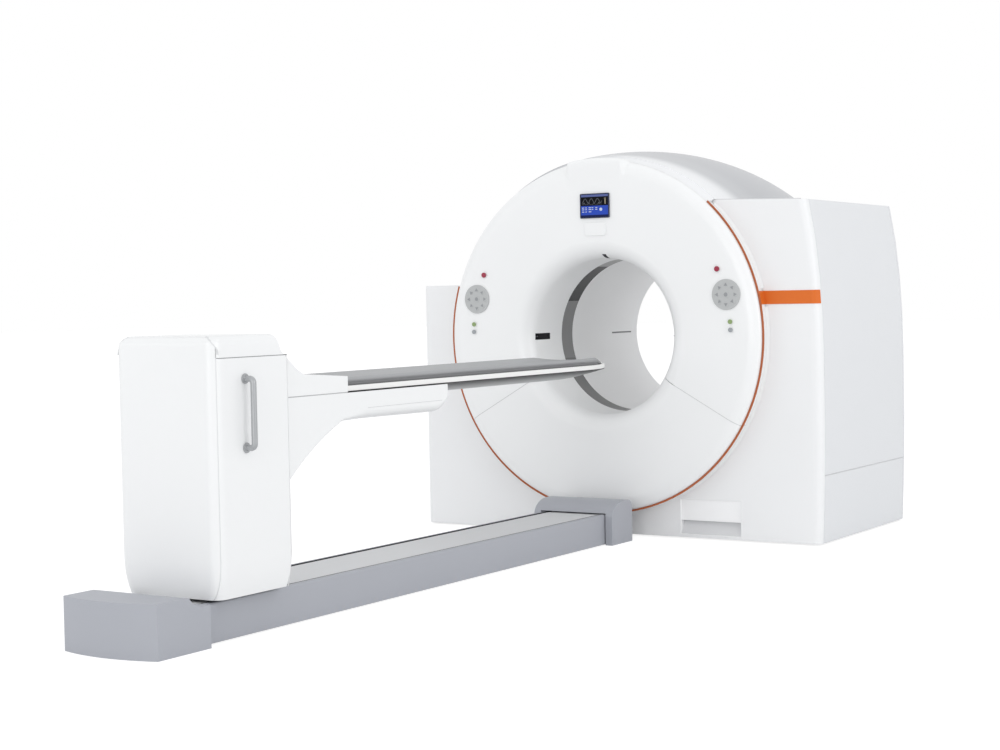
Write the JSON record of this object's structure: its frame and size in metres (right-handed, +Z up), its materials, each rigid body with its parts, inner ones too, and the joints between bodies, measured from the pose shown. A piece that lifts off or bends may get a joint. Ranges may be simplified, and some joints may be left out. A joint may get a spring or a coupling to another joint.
{
  "type": "pet-ct scanner",
  "caption": "Hospital pet-ct scanner: ring-shaped gantry with a round tunnel between two cabinets, and a floor-mounted table whose pedestal slides a cantilevered pallet into the bore.",
  "frame": {"origin": "on the floor, below the middle of the tunnel, in the plane of the cabinets' front panels", "axes": "+X to the right as seen from the table, +Y along the tunnel into the gantry, +Z up"},
  "size_m": [2.257, 4.787, 1.9456],
  "materials": {
    "frame_steel": "satin paint on welded steel",
    "machined_steel": "ground and machined",
    "cast_aluminium": "machined",
    "cover_white": "smooth satin lacquer",
    "panel_white": "smooth powder coat",
    "side_grey": "smooth powder coat",
    "hood_grey": "satin lacquer",
    "trim_orange": "satin",
    "tunnel_grey": "satin",
    "window_dark": "smoked film",
    "glass_dark": "glossy",
    "screen": "lit display behind glass",
    "lens": "translucent",
    "key_grey": "membrane",
    "stop_red": "gloss",
    "start_green": "gloss",
    "move_grey": "gloss",
    "base_grey": "fine textured moulding",
    "belt_grey": "satin cover band",
    "crystal": "packed crystal blocks",
    "lead": "dull",
    "copper": "polished tracks",
    "electronics": "powder coat",
    "drive_rubber": "moulded",
    "handle_grey": "satin",
    "pallet_grey": "smooth laminate skin",
    "pad_grey": "soft coated foam pad"
  },
  "bodies": {
    "gantry": {"gantry_base_frame": "frame_steel", "ct_stator_frame": "cast_aluminium", "bearing_outer_race": "machined_steel", "pet_frame": "cast_aluminium", "pet_detectors": "crystal", "pet_shields": "lead", "electronics_rack": "electronics", "cooling_unit": "electronics", "bore_liner": "tunnel_grey", "scan_window": "window_dark", "front_throat": "cover_white", "front_cover_upper": "cover_white", "front_cover_lower": "cover_white", "front_crown": "cover_white", "rear_mouth": "cover_white", "rear_cover": "cover_white", "top_hood": "hood_grey", "front_panel_right": "panel_white", "front_panel_left": "panel_white", "side_panels": "side_grey", "rear_panels": "side_grey", "accent_trim": "trim_orange", "display_bezel": "glass_dark", "display_screen": "screen", "status_lens": "lens", "keypads": "key_grey", "laser_windows": "glass_dark", "foot_vent": "panel_white", "base_channel": "frame_steel", "base_side_covers": "base_grey", "base_caps": "base_grey", "cover_belt": "belt_grey", "guide_rails": "machined_steel"},
    "rotor": {"rotor_drum": "cast_aluminium", "bearing_inner_race": "machined_steel", "xray_tube": "cast_aluminium", "collimator": "lead", "ct_detector": "electronics", "rotor_power_units": "electronics", "slip_ring": "copper"},
    "carriage": {"carriage_frame": "frame_steel", "runner_blocks": "machined_steel", "drive_motor": "electronics", "pedestal_frame": "frame_steel", "pedestal_end_cover": "cover_white", "pedestal_top_cap": "cover_white", "pedestal_panels": "cover_white", "handles": "handle_grey"},
    "drive": {"drive_roller": "drive_rubber"},
    "lift": {"arm_frame": "frame_steel", "arm_cover": "cover_white", "arm_head_cover": "cover_white", "pallet": "pallet_grey", "mattress": "pad_grey"},
    "stop_right": {"stop_button_right": "stop_red"},
    "stop_left": {"stop_button_left": "stop_red"},
    "start_right": {"start_button_right": "start_green"},
    "start_left": {"start_button_left": "start_green"},
    "move_right": {"move_button_right": "move_grey"},
    "move_left": {"move_button_left": "move_grey"}
  },
  "joints": [
    {"name": "rotor_spin", "type": "hinge", "parent": "gantry", "child": "rotor", "pos_m": [0, 0.416, 1], "axis": [0, 1, 0], "continuous": true},
    {"name": "carriage_travel", "type": "slide", "parent": "gantry", "child": "carriage", "axis": [0, 1, 0], "range_m": [0, 2.2]},
    {"name": "drive_turn", "type": "hinge", "parent": "carriage", "child": "drive", "pos_m": [-0.046, -3.0395, 0.0573], "axis": [-1, 0, 0], "range_deg": [0, 2810]},
    {"name": "table_lift", "type": "slide", "parent": "carriage", "child": "lift", "axis": [0, 0, 1], "range_m": [-0.08, 0.06]},
    {"name": "stop_press_right", "type": "slide", "parent": "gantry", "child": "stop_right", "axis": [0, 1, 0], "range_m": [0, 0.003], "stiffness_N_per_m": 800},
    {"name": "stop_press_left", "type": "slide", "parent": "gantry", "child": "stop_left", "axis": [0, 1, 0], "range_m": [0, 0.003], "stiffness_N_per_m": 800},
    {"name": "start_press_right", "type": "slide", "parent": "gantry", "child": "start_right", "axis": [0, 1, 0], "range_m": [0, 0.003], "stiffness_N_per_m": 800},
    {"name": "start_press_left", "type": "slide", "parent": "gantry", "child": "start_left", "axis": [0, 1, 0], "range_m": [0, 0.003], "stiffness_N_per_m": 800},
    {"name": "move_press_right", "type": "slide", "parent": "gantry", "child": "move_right", "axis": [0, 1, 0], "range_m": [0, 0.003], "stiffness_N_per_m": 800},
    {"name": "move_press_left", "type": "slide", "parent": "gantry", "child": "move_left", "axis": [0, 1, 0], "range_m": [0, 0.003], "stiffness_N_per_m": 800}
  ],
  "couplings": [
    {"joint": "drive_turn", "follows": "carriage_travel", "rad_per_m": 22.222}
  ]
}
